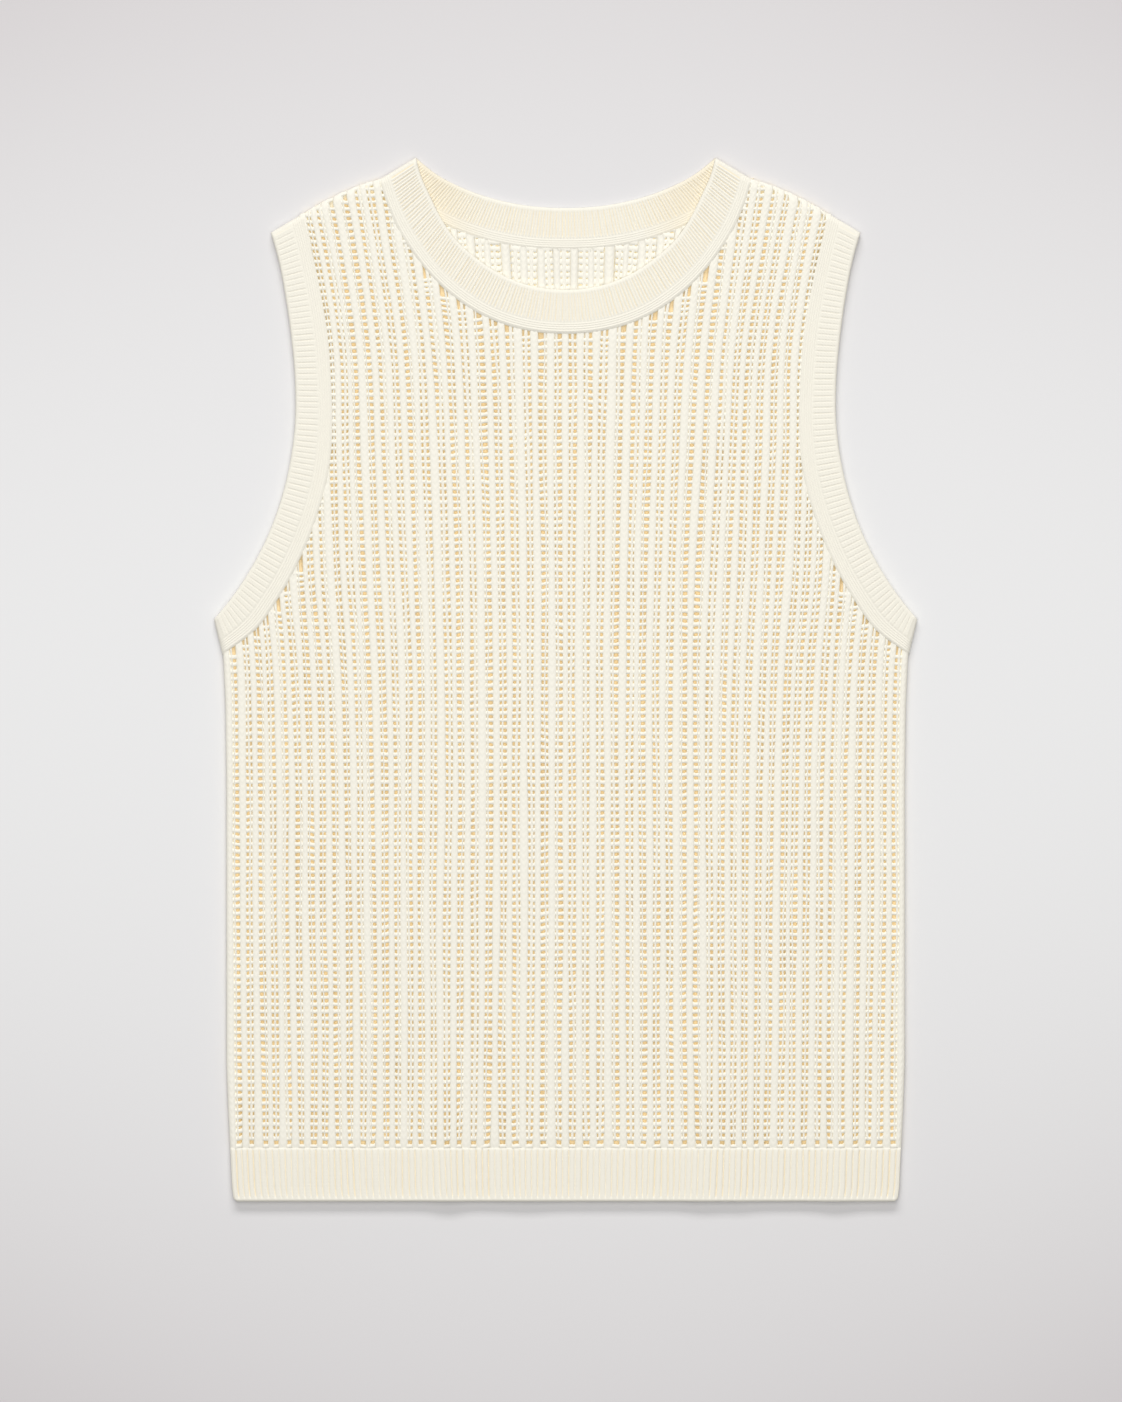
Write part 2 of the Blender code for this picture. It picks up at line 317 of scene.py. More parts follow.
def geometryTree(name, inputs):
    # an empty geometry tree with its named inputs; returns it, its wires and each input's identifier
    group = bpy.data.node_groups.new(name, "GeometryNodeTree")
    ids = {}
    group.interface.new_socket("Geometry", in_out="INPUT", socket_type="NodeSocketGeometry")
    for label, kind in inputs.items():
        ids[label] = group.interface.new_socket(label, in_out="INPUT", socket_type=kind).identifier
    group.interface.new_socket("Geometry", in_out="OUTPUT", socket_type="NodeSocketGeometry")
    tree = Tree(group)
    entry = group.nodes.new("NodeGroupInput")
    wires = {socket.name: Wire(tree, socket) for socket in entry.outputs if socket.name}
    return tree, wires, ids


def endTree(tree, geometry, material):
    real = tree.add("GeometryNodeRealizeInstances", {}, {"Geometry": geometry})
    shaded = tree.add("GeometryNodeSetShadeSmooth", {}, {"Geometry": real})
    dressed = tree.add("GeometryNodeSetMaterial", {}, {"Geometry": shaded, "Material": material})
    tree.link(dressed, tree.tree.nodes.new("NodeGroupOutput").inputs[0])


def newObject(name, mesh):
    thing = bpy.data.objects.new(name, mesh)
    bpy.context.scene.collection.objects.link(thing)
    return thing


def storeNumbers(mesh, numbers):
    for label, values in numbers.items():
        layer = mesh.attributes.new(label, "FLOAT", "POINT")
        layer.data.foreach_set("value", np.asarray(values, np.float32).ravel())


def placesOf(mesh):
    # the points of a mesh in millimetres
    places = np.empty(len(mesh.vertices) * 3, np.float32)
    mesh.vertices.foreach_get("co", places)
    return places.reshape(-1, 3) / mm


def lineMesh(name, points, edges, numbers, vectors=None):
    # a helper mesh of points and edges that carries named numbers
    mesh = bpy.data.meshes.new(name)
    mesh.from_pydata([tuple(p) for p in points], edges, [])
    storeNumbers(mesh, numbers)
    for label, values in (vectors or {}).items():
        flat = np.asarray(values, np.float32).ravel()
        mesh.attributes.new(label, "FLOAT_VECTOR", "POINT").data.foreach_set("vector", flat)
    return newObject(name, mesh)


def grown(source, tree, ids, values, name):
    # runs a geometry tree on an object and keeps the result as a plain mesh
    modifier = source.modifiers.new("knitting", "NODES")
    modifier.node_group = tree.tree
    for label, value in values.items():
        modifier[ids[label]] = value
    evaluated = source.evaluated_get(bpy.context.evaluated_depsgraph_get())
    mesh = bpy.data.meshes.new_from_object(evaluated)
    source.modifiers.remove(modifier)
    mesh.name = name
    return mesh


def joined(name, meshes):
    # one object from one or more meshes, with its faces turned outward
    bm = bmesh.new()
    for mesh in meshes:
        bm.from_mesh(mesh)
    bmesh.ops.recalc_face_normals(bm, faces=bm.faces)
    whole = bpy.data.meshes.new(name)
    bm.to_mesh(whole)
    bm.free()
    if meshes[0].materials:
        whole.materials.append(meshes[0].materials[0])
    whole.shade_smooth()
    for mesh in meshes:
        bpy.data.meshes.remove(mesh)
    return newObject(name, whole)


def cleared(*things):
    for thing in things:
        data = thing.data
        bpy.data.objects.remove(thing)
        bpy.data.meshes.remove(data)


# Materials

cotton = {
    "ivory": (0.905, 0.872, 0.772),       # crest of a rib
    "paintedShade": (0.80, 0.615, 0.35),          # painted shade, down in the ladders
    "bandIvory": (0.875, 0.84, 0.738),
    # painted shade of the bands, down between their ribs
    "bandPaintedShade": (0.86, 0.75, 0.54),
    "paintedShadeAt": -0.1,                       # rise with the full painted shade, as a share of the wall
    "bandPaintedShadeAt": 0.0,
    "ivoryAt": 0.85,                      # rise with the full ivory
    "halfToneAt": 0.45,                   # on the scale of tones from painted shade to ivory
    "fullToneAt": 0.85,
    "roughness": 0.9,
    "sheen": 0.25,
    "sheenRoughness": 0.5,
    "shine": 0.25,
    "bump": 0.8,
    "stitch": 0.00013,                    # height of a stitch in the bump, in metres
    "bandStitch": 0.00006,
    "stitchLean": 0.55,                   # how far the legs of a stitch lean, in courses
    "stitchRound": 1.4,                   # more makes the stitches narrower
    "fibre": 0.00010,
    "fibreScale": 2600.0,
    "patchScale": 28.0,                   # broad patches of lighter and deeper yarn
    "patchTone": 0.10,
    "slubScale": 420.0,                   # thicker and thinner places along the yarn
    "slubTone": 0.14,
    "coverShade": 0.8,                     # painted shade: how much deeper the back's yarn is made under the front
    "underFrom": 0.0002,                  # the underside stays ivory up to here, in metres over the table
    "underTo": 0.0011,
    "underOpen": 3.0,                     # how much thinner that is where no layer lies on top
    "through": (0.88, 0.815, 0.48),       # painted glow down in the ladders, in place of light that comes through the yarn
    # strength of that painted glow
    "throughLight": 0.365,
    "throughWall": 1.2,                   # painted glow on the walls of the ladders
    "throughCover": 0.24,                 # painted glow on the back's yarn under the front
}


def knitMaterial(name, ivory, paintedShade, paintedShadeAt, stitch, throughLight):
    material = bpy.data.materials.new(name)
    material.use_nodes = True
    tree = Tree(material.node_tree)
    shader = material.node_tree.nodes["Principled BSDF"]
    place = tree.add("ShaderNodeTexCoord", out="Object")
    across, course, cover = tree.painted("across"), tree.painted("course"), tree.painted("cover")
    # painted shade: the lower the yarn lies in its section, the deeper its tone, from the full shade to ivory
    # on the crests
    height = tree.rises(tree.painted("rise"), paintedShadeAt, cotton["ivoryAt"])
    overTable = tree.rises(tree.split(place)[2] * (1.0 + (1.0 - cover) * cotton["underOpen"]),
                           cotton["underFrom"], cotton["underTo"])
    patches = tree.noise(place, cotton["patchScale"], 3.0)
    slubs = tree.noise(place, cotton["slubScale"], 2.0)
    fibre = tree.noise(place, cotton["fibreScale"], 4.0)
    # painted shade: deeper still where the front lies over the back's yarn, and on the neck band's inside
    shown = height * (1.0 - cotton["coverShade"] * cover)
    slubbed = shown * (1.0 - cotton["slubTone"] / 2 + cotton["slubTone"] * slubs)
    tone = 1.0 - (1.0 - slubbed) * overTable + (patches - 0.5) * cotton["patchTone"]
    # the ramp runs from the painted shade of the ladders to the ivory of the crests
    colour = tree.ramp(tone, ((0.0, paintedShade), (cotton["halfToneAt"], mixed(paintedShade, ivory, 0.5)),
                              (cotton["fullToneAt"], ivory)))
    # legs of the stitches lean outwards from the middle of each wale
    wale = abs(abs(across) - 0.5) * 2.0
    legs = abs(((course + wale * cotton["stitchLean"]) * math.pi).sine()).power(cotton["stitchRound"])
    knit = legs * stitch + fibre * cotton["fibre"]
    bump = tree.add("ShaderNodeBump", {}, {"Height": knit, "Strength": cotton["bump"], "Distance": 1.0})
    # painted glow: emission down in the ladders and on the back's yarn under the front, in place of light
    # that comes through the yarn
    glowMask = ((1.0 - height) * cotton["throughWall"] + cover * cotton["throughCover"]) * overTable
    light = tree.ramp(glowMask * (0.5 + patches), ((0.0, (0.0, 0.0, 0.0)), (1.0, cotton["through"])))
    tree.link(colour, shader.inputs["Base Color"])
    tree.link(light, shader.inputs["Emission Color"])
    tree.link(bump, shader.inputs["Normal"])
    for label, value in (("Emission Strength", throughLight), ("Roughness", cotton["roughness"]),
                         ("Sheen Weight", cotton["sheen"]), ("Sheen Roughness", cotton["sheenRoughness"]),
                         ("Specular IOR Level", cotton["shine"])):
        shader.inputs[label].default_value = value
    return material


bodyKnit = knitMaterial("ivory_body_knit", cotton["ivory"], cotton["paintedShade"], cotton["paintedShadeAt"],
                        cotton["stitch"], cotton["throughLight"])
bandKnit = knitMaterial("ivory_band_knit", cotton["bandIvory"], cotton["bandPaintedShade"], cotton["bandPaintedShadeAt"],
                        cotton["bandStitch"], 0.0)
print("materials made")


# The panels

openwork = {
    "ladders": 26,             # on each side of the middle rib
    "courseLow": 4.25,         # height of a course near the hem
    "courseHigh": 3.95,        # and near the neck
    "courseReach": 280.0,      # those heights hold so far below and above the middle
    "firstCourse": 1.2,        # over the hem rib's seam
    "usualSpacing": 8.3,       # from ladder to ladder
    "gapShare": 0.45,          # of a ladder in the spacing of the ribs
    "hemPinch": 0.22,          # how much narrower a ladder is at the hem rib
    "hemPinchTo": (3.0, 12.0), # heights over the seam between which it widens
    "gapUneven": 0.10,
    "stitchUneven": 0.07,
    "ladderOffset": 0.55,      # uneven spacing of the ladders
    "ladderWander": 0.35,
    "purlHalf": 0.78,          # half width of the recessed wale in a ladder
    "purlUneven": 0.30,
    "purlNarrow": 0.10,
    "purlWander": 0.45,        # how far the recessed wale leans to either side
    "purlLean": 0.95,          # how far a whole one lies to one side
    "purlRoom": 0.9,           # share of the ladder that it keeps to
    "purlWall": 2.1,           # height of the recessed wale
    "purlBase": 0.2,           # lies so far over the layer's inside
    "shortestPurl": 5,         # stations
    "innerLadders": 8,         # most of the ladders further out lean more
    "leaningShare": 0.7,
    "outerLean": 0.9,
    "outerLeanHigh": 0.8,      # and this much more high up
    "highBody": (120.0, 220.0),
    "closerUnder": 0.36,       # how much narrower the back's ladders are where the front covers them
    "tuck": 2.6,               # knit that runs on under a band
    "foldHalf": 1.5,           # of the turn over the shoulder line
    "foldHigh": 1.75,
    "foldBumps": 0.28,
    "foldStations": 60,
    "foldAround": 10,
    "foldPast": 1.5,           # runs on so far at either end
    "foldStitch": 2.0,
    "palest": 0.92,            # tone of a fold, as pale as the ribs
    "floatOver": 0.3,          # the loose yarn runs on so far behind the ribs
    "floatFrom": 0.02,         # and lies where so much of the back shows
    "seamStations": 60,
    "underHem": 20.0,          # the panel's outline starts so far under the hem rib's seam
}

# what wanders along a ladder: length of one turn to the side; each has its own seed by its
# place in this list
wander = {"middle": 70.0, "gap": 45.0, "lean": 38.0, "tilt": 22.0, "half": 18.0}

# ends of the wales
waleEnd = {
    "shoulderClear": 1.2,      # a wale stops so far below the shoulder line
    "nearShoulder": 8.0,       # and turns over it if it comes closer than this
    "turn": (35, 65, 88),      # degrees of that turn
    "turnReach": 2.4,
    "turnWide": (1.0, 1.0, 0.9),
    "turnCourses": (0.4, 0.7, 0.9),
    "turnStep": 0.2,           # and no less than this on from the last station
    "low": 0.84,               # height under a band, as a share of the wall
    "lift": 0.16,
    "liftAt": (-0.8, 2.4),     # distances from the seam between which it rises by that
    "hemTuck": 1.6,            # runs on so far under the hem rib
    "hemCourses": 0.7,
    "hemLow": 0.7,
    "hemNext": 0.86,
    "slantAt": (-16.0, -2.0),  # distances from the shoulder line between which it takes its slope
    "pastDrop": 2.0,           # the shoulder line's fall past its end, at once and per millimetre
    "pastSlope": 0.6,
}

rungs = {
    "height": 1.30,            # of a rung's middle over the layer's inside
    "over": 0.35,              # reaches so far under the ribs beside it
    "uneven": 0.16,
    "tilt": 0.10,
    "seamClear": 0.3,          # a rung further in than this is on the near side of a seam
    "under": 4.4,              # rungs run on so far past a slanting seam
    "shoulderClear": 3.0,
    "firstHole": 3.9,          # from a level seam to the middle of the first rung
    "nearest": 2.0,            # a rung nearer to that seam is left out
    "spread": 3,               # courses that share the shift to the first hole
    "hemShift": 0.3,           # the first rung lies so much nearer to the hem rib
    "perCourse": 4.0,          # rungs of width 1 that fill a course
}

# where the front lies over the back's yarn: distances past the neck seam and the shoulder line
covering = {
    "seam": (-22.0, -12.0),
    "shoulder": (-6.0, -3.5),
    "nearNeck": (125.0, 190.0),        # only there is the distance measured: x below, y above
    "atOnce": 4000,
}

# sections across a rib and across the recessed wale: across, rise
ribSection = ((-0.95, 0.02), (-1, 0.68), (-0.6, 1), (0, 0.86), (0.6, 1), (1, 0.68), (0.95, 0.02))
plainRibSection = ((-1, 0.04), (-0.75, 0.92), (0, 0.84), (0.75, 0.92), (1, 0.04))
purlSection = ((-0.9, 0), (-1, 0.7), (-0.55, 1), (0.55, 1), (1, 0.7), (0.9, 0))
floatSection = ((-1, 0.05), (-1, 0.42), (1, 0.42), (1, 0.05))
sideSection = ((-1, 0), (-1, 0.5), (-0.62, 1), (0.05, 0.97), (0.6, 0.78), (0.9, 0.4), (1, -0.05))

# a rung from rib to rib over the recessed wale: place along it, half width, height
rungStations = ((-1, 1.7, 0.85), (-0.58, 1.1, 0.8), (0, 1.5, 0.85), (0.58, 1.1, 0.8), (1, 1.7, 0.85))
# round a rung: share of its half width, share of its height, rise, whose low values paint shade on the lower
# edges
rungSection = ((-1, -0.4, 0.1), (-0.72, 1, 0.8), (0.72, 1, 0.8), (1, -0.4, 0.1))

frontLayer = {
    "neck": neckFrontTable,
    "base": vest["frontBase"],
    "wall": vest["frontWall"],
    "section": ribSection,
    "isFront": True,
    "seed": 3,
    "everyCourse": 1,          # courses from one station of a rib to the next
    "fullness": 1.0,           # of the rungs
    "purlTuck": 1.6,
}
backLayer = {
    "neck": neckBackTable,
    "base": 0.0,
    "wall": vest["backWall"],
    "section": plainRibSection,
    "isFront": False,
    "seed": 8,
    "everyCourse": 2,
    "fullness": 1.65,
    "purlTuck": 3.4,
}


def sectionObject(name, section):
    points = [(across, rise, 0.0) for across, rise in section]
    count = len(points)
    edges = [(i, (i + 1) % count) for i in range(count)]
    return lineMesh(name, points, edges, {"across": [p[0] for p in points], "rise": [p[1] for p in points]})


def rungObject(name):
    points, faces = [], []
    for along, half, high in rungStations:
        points += [(along, side * half, up * high) for side, up, _ in rungSection]
    count = len(rungSection)
    for i in range(len(rungStations) - 1):
        for j in range(count):
            a, b = count * i + j, count * i + (j + 1) % count
            faces.append((a, b, b + count, a + count))
    mesh = bpy.data.meshes.new(name)
    mesh.from_pydata(points, [], faces)
    storeNumbers(mesh, {"rise": [row[2] for row in rungSection] * len(rungStations)})
    return joined(name, [mesh])


def ribTree(name, material):
    # sweeps a section along the rails and sets each point from the rail's own numbers
    tree, wires, ids = geometryTree(name, {"Section": "NodeSocketObject", "Wall": "NodeSocketFloat"})
    rails = tree.add("GeometryNodeMeshToCurve", {}, {"Mesh": wires["Geometry"]})
    section = tree.add("GeometryNodeObjectInfo", {}, {"Object": wires["Section"]}, out="Geometry")
    profile = tree.add("GeometryNodeMeshToCurve", {}, {"Mesh": section})
    swept = tree.add("GeometryNodeCurveToMesh", {},
                     {"Curve": rails, "Profile Curve": profile, "Fill Caps": True})
    x, y, z = tree.split(tree.stored("middle", "FLOAT_VECTOR"))
    sideways = tree.stored("across") * tree.stored("wide")
    place = tree.add("ShaderNodeCombineXYZ", {}, {
        "X": x + sideways,
        "Y": y + sideways * tree.stored("slant"),
        "Z": z + tree.stored("rise") * tree.stored("tall") * wires["Wall"],
    })
    moved = tree.add("GeometryNodeSetPosition", {}, {"Geometry": swept, "Position": place})
    endTree(tree, moved, material)
    return tree, ids


def rungTree(name, material):
    # one rung at each point, as long as its ladder is wide there, a little uneven
    tree, wires, ids = geometryTree(name, {
        "Rung": "NodeSocketObject",
        "Thickness": "NodeSocketFloat",
        "Unevenness": "NodeSocketFloat",
        "Seed": "NodeSocketInt",
    })
    shape = tree.add("GeometryNodeObjectInfo", {}, {"Object": wires["Rung"]}, out="Geometry")
    # the third and fourth inputs and the second output of this node are those for plain numbers
    uneven = tree.add("FunctionNodeRandomValue", {"data_type": "FLOAT"},
                      {2: -1.0, 3: 1.0, "Seed": wires["Seed"]}, out=1)
    full = wires["Thickness"] * (1.0 + uneven * wires["Unevenness"])
    turn = tree.add("ShaderNodeCombineXYZ", {}, {"Z": tree.stored("tilt")})
    size = tree.add("ShaderNodeCombineXYZ", {}, {
        "X": tree.stored("reach"), "Y": tree.stored("pitch") * full, "Z": wires["Thickness"],
    })
    placed = tree.add("GeometryNodeInstanceOnPoints", {}, {
        "Points": wires["Geometry"], "Instance": shape, "Rotation": turn, "Scale": size,
    })
    endTree(tree, placed, material)
    return tree, ids


def seamLines(neckRows):
    # the panel's sewn edges: right armhole, neck and left armhole, as separate lines
    share = np.linspace(0.0, 1.0, openwork["seamStations"])
    arm = Trim(armTable).edge(share, vest["seamGap"])
    neck = Trim(wholeOf(neckRows)).edge(share, vest["seamGap"])
    return [arm, neck, arm * (-1, 1)]


def outlineOf(neckRows):
    # the whole edge of the panel, from well under the hem rib and round
    arm, neck, _ = seamLines(neckRows)
    heights = [vest["hemSeamY"] - openwork["underHem"]]
    heights += [y for y in sideTable["y"] if vest["hemSeamY"] < y < 0]
    right = [(float(halfWidth(y)), y) for y in heights] + [tuple(p) for p in arm[::-1]]
    right += list(zip(shoulderTable["x"][::-1], shoulderTable["y"][::-1]))
    right += [tuple(p) for p in neck[::-1][: len(neck) // 2]]
    left = [(-x, y) for x, y in right]
    return np.array(right + left[::-1])


def fromSeam(points, lines, outline):
    # distance to the nearest sewn edge, negative outside the panel
    nearest = np.full(len(points), 1e9)
    for line in lines:
        start, ahead = line[:-1], np.diff(line, axis=0)
        offset = points[:, None, :] - start[None]
        share = np.clip((offset * ahead).sum(-1) / (ahead**2).sum(-1), 0, 1)
        nearest = np.minimum(nearest, np.linalg.norm(offset - share[..., None] * ahead, axis=-1).min(1))
    x, y = points[:, :1], points[:, 1:]
    ax, ay = outline.T
    bx, by = np.roll(outline, -1, axis=0).T
    crosses = ((ay > y) != (by > y)) & (x < ax + (y - ay) * (bx - ax) / np.where(by == ay, 1e-9, by - ay))
    inside = crosses.sum(1) % 2 == 1
    return np.where(inside, nearest, -nearest)


def shoulderLine(x):
    return np.interp(x, shoulderTable["x"], shoulderTable["y"])


def shoulderTop(x):
    # height of the shoulder line, or far up where a band closes the panel
    x = np.abs(x)
    lastX, lastY = shoulderTable["x"][-1], shoulderTable["y"][-1]
    past = lastY - waleEnd["pastDrop"] - waleEnd["pastSlope"] * (x - lastX)
    line = np.where(x < lastX, shoulderLine(x), past)
    return np.where(x > shoulderTable["x"][0], line, 1e3)


def courseHeights():
    reach = openwork["courseReach"]
    heights = [vest["hemSeamY"] + openwork["firstCourse"]]
    while heights[-1] < vest["topY"]:
        y = heights[-1]
        heights.append(y + np.interp(y, (-reach, reach), (openwork["courseLow"], openwork["courseHigh"])))
    return np.array(heights)


def inOpening(x, y):
    # 1 where the back layer shows in the neck opening, 0 where the front covers it
    return ease(*vest["openingBottom"], y) * (1 - ease(*vest["openingSide"], np.abs(x)))


def ladderLines(heights, layer):
    # for each ladder from left to right: its middle, half gap and recessed wale at every course
    fan = [smooth(fanTable["y"], fanTable[name], heights) for name in ("ninth", "seventeenth", "last")]
    fan = np.stack([np.zeros_like(heights), *fan])
    seed, count = layer["seed"], openwork["ladders"]
    # the back's ladders lie half a spacing to the right, so it has one less
    numbers = [n for n in range(-count, count + (1 if layer["isFront"] else 0)) if n]
    draw = np.random.default_rng(seed)

    def across(at):
        return np.array([smooth(fanLadders, fan[:, j], at)[0] for j in range(len(heights))])

    def wandering(part, number, size):
        kinds = list(wander)
        return drift(seed * 1000 * (kinds.index(part) + 1) + number + 100, heights, wander[part], size)

    lines = []
    for number in numbers:
        at = abs(number) - 0.5
        nominal, wider = across(at), across(at + 0.5)
        spacing = (wider - nominal) * 2
        middle = np.sign(number) * nominal + draw.uniform(-1, 1) * openwork["ladderOffset"]
        middle = middle + wandering("middle", number, openwork["ladderWander"])
        uneven = 1 + wandering("gap", number, openwork["gapUneven"])
        uneven = uneven + draw.uniform(-1, 1, len(heights)) * openwork["stitchUneven"]
        if not layer["isFront"]:
            middle = middle + spacing / 2
            uneven = uneven * (1 - openwork["closerUnder"] * (1 - inOpening(nominal, heights)))
        gap = spacing * openwork["gapShare"] / 2 * uneven
        low, high = (vest["hemSeamY"] + up for up in openwork["hemPinchTo"])
        gap = gap * (1 - openwork["hemPinch"] * (1 - ease(low, high, heights)))
        lean = wandering("lean", number, openwork["purlWander"])
        lean = lean + draw.uniform(-openwork["purlLean"], openwork["purlLean"])
        if abs(number) > openwork["innerLadders"] and draw.uniform() < openwork["leaningShare"]:
            more = openwork["outerLean"] + openwork["outerLeanHigh"] * ease(*openwork["highBody"], heights)
            lean = lean + draw.choice((-1.0, 1.0)) * more
        uneven = 1 + draw.uniform(-1, 1) * openwork["purlUneven"]
        half = openwork["purlHalf"] * spacing / openwork["usualSpacing"] * uneven
        half = half * (1 + wandering("half", number, openwork["purlNarrow"]))
        lines.append({
            "middle": middle,
            "gap": gap,
            "purl": middle + np.clip(lean, -1.0, 1.0) * (gap - half) * openwork["purlRoom"],
            "tilt": wandering("tilt", number, rungs["tilt"]),
            "half": half,
        })
    return lines


class Rails:
    # collects rail lines and their numbers, to be swept by one geometry tree

    def __init__(self):
        self.points, self.edges = [], []
        self.numbers = {"wide": [], "tall": [], "course": [], "slant": []}

    def add(self, x, y, z, wide, tall, course):
        start = len(self.points)
        self.points += list(zip(x * mm, y * mm, z * mm))
        self.edges += [(start + i, start + i + 1) for i in range(len(x) - 1)]
        self.numbers["wide"] += list(wide * mm)
        self.numbers["tall"] += list(tall)
        self.numbers["course"] += list(course)
        # a wale's end follows the slope of the shoulder line
        near = [shoulderLine(np.abs(x) + step) for step in (-1.0, 1.0)]
        slope = np.sign(x) * (near[1] - near[0]) / 2
        self.numbers["slant"] += list(slope * ease(*waleEnd["slantAt"], y - shoulderTop(x)))

    def swept(self, name, section, wall, tree, ids):
        rail = lineMesh(name + "_rail", self.points, self.edges, self.numbers, {"middle": self.points})
        profile = sectionObject(name + "_section", section)
        mesh = grown(rail, tree, ids, {"Section": profile, "Wall": wall * mm}, name)
        cleared(rail, profile)
        return mesh


def loftMesh(rings, numbers, material):
    # a closed wall through rings of points: stations x points x 3 in millimetres
    stations, count, _ = rings.shape
    points = (rings * mm).reshape(-1, 3)
    i, j = np.meshgrid(np.arange(stations - 1), np.arange(count), indexing="ij")
    a, b = i * count + j, i * count + (j + 1) % count
    faces = np.stack([a, b, b + count, a + count], axis=-1).reshape(-1, 4).tolist()
    faces += [list(range(count))[::-1], list(range((stations - 1) * count, stations * count))]
    mesh = bpy.data.meshes.new("wall")
    mesh.from_pydata(points.tolist(), [], faces)
    storeNumbers(mesh, numbers)
    mesh.materials.append(material)
    return mesh


def shoulderFold(side):
    # the knit turns over along the shoulder line, from one layer to the other
    stations, around, past = openwork["foldStations"], openwork["foldAround"], openwork["foldPast"]
    x = np.linspace(shoulderTable["x"][0] - past, shoulderTable["x"][-1] + past, stations)
    turn = np.linspace(0, 2 * np.pi, around, endpoint=False)
    half, high = openwork["foldHalf"], openwork["foldHigh"]
    bumps = openwork["foldBumps"] * np.sin(x * 2 * np.pi / openwork["usualSpacing"])[:, None]
    y = shoulderLine(x)[:, None] - half + (half + bumps) * np.cos(turn)[None]
    z = vest["foldHeight"] + (high + bumps) * np.sin(turn)[None]
    rings = np.stack([np.repeat(side * x[:, None], around, axis=1), y, z], axis=2)
    course = np.repeat(x[:, None] / openwork["foldStitch"], around, axis=1)
    numbers = {"rise": np.full(y.shape, openwork["palest"]), "across": np.zeros(y.shape), "course": course}
    return loftMesh(rings, numbers, bodyKnit)


def runsOf(keep):
    # first and last index of each stretch that is kept, if it has at least three stations
    edges = np.flatnonzero(np.diff(np.concatenate([[0], keep.astype(int), [0]])))
    return [(a, b) for a, b in edges.reshape(-1, 2) if b - a >= 3]


def stripRows(left, right, heights, layer, edges, tuck):
    # the stretches of one wale that lie inside the panel, with their ends shaped
    step, base, fold = layer["everyCourse"], layer["base"], vest["foldHeight"]
    left, right, heights = left[::step], right[::step], heights[::step]
    middle, wide = (left + right) / 2, (right - left) / 2
    distance = fromSeam(np.stack([middle, heights], axis=1), *edges)
    top = shoulderTop(middle)
    keep = (distance > -tuck) & (heights < top - waleEnd["shoulderClear"])
    rows = []
    for a, b in runsOf(keep):
        x, y, w = middle[a:b], heights[a:b], wide[a:b]
        tall = waleEnd["low"] + waleEnd["lift"] * ease(*waleEnd["liftAt"], distance[a:b])
        course = np.arange(a, b, dtype=float) * step
        overShoulder = (top[b - 1] - heights[b - 1] < waleEnd["nearShoulder"]
                        and abs(x[-1]) < shoulderTable["x"][-1])
        if b < len(heights) and not overShoulder:  # runs on as far as its tuck
            share = np.clip((distance[b - 1] + tuck) / max(distance[b - 1] - distance[b], 1e-3), 0.0, 1.0)
            ahead = (middle[b], heights[b], wide[b], float(b * step))
            x, y, w, course = (np.append(v, v[-1] + share * (after - v[-1]))
                               for v, after in zip((x, y, w, course), ahead))
            tall = np.append(tall, waleEnd["low"])
        z = np.full(len(x), base)
        if a == 0:  # runs on under the hem rib
            x, y, w = (np.concatenate([[v[0]], v]) for v in (x, y, w))
            y[0] = vest["hemSeamY"] - waleEnd["hemTuck"]
            tall = np.concatenate([[waleEnd["hemLow"], waleEnd["hemNext"]], tall[1:]])
            course, z = np.concatenate([[-waleEnd["hemCourses"]], course]), np.append(z, base)
        if overShoulder:  # turns over to the other layer
            turn = np.radians(waleEnd["turn"])
            reach = float(shoulderTop(x[-1:])[0]) - waleEnd["turnReach"] * (1 - np.sin(turn))
            x = np.append(x, [x[-1]] * len(turn))
            w = np.append(w, w[-1] * np.array(waleEnd["turnWide"]))
            y = np.append(y, np.maximum(reach, y[-1] + waleEnd["turnStep"]))
            tall = np.append(tall, np.cos(turn))
            course = np.append(course, course[-1] + np.array(waleEnd["turnCourses"]))
            z = np.append(z, fold + (base - fold) * np.cos(turn))
        z = z + (waveLift(x, y) if layer["isFront"] else 0.0)
        rows.append((x, y, z, w, tall, course))
    return rows


def paleEdge(mesh):
    # the folded side of the body is as pale as its ribs
    across, rise = (np.empty(len(mesh.vertices), np.float32) for _ in range(2))
    mesh.attributes["across"].data.foreach_get("value", across)
    mesh.attributes["rise"].data.foreach_get("value", rise)
    rise = np.where(across > 0, np.maximum(rise, openwork["palest"]), rise)
    mesh.attributes["rise"].data.foreach_set("value", rise)
    return mesh


def ribRails(ladders, heights, layer, edges):
    # the ribs that stand between one ladder and the next
    ribs = Rails()
    for one, two in zip(ladders, ladders[1:]):
        left, right = one["middle"] + one["gap"], two["middle"] - two["gap"]
        for row in stripRows(left, right, heights, layer, edges, openwork["tuck"]):
            ribs.add(*row)
    return ribs


def sideRails(outer, side, heights, layer, edges):
    # from the outermost ladder to the side of the body
    rails = Rails()
    inner, edge = outer["middle"] + side * outer["gap"], side * halfWidth(heights)
    left, right = (inner, edge) if side > 0 else (edge, inner)
    for x, y, z, w, tall, course in stripRows(left, right, heights, layer, edges, openwork["tuck"]):
        rails.add(x, y, z, w * side, tall, course)
    return rails


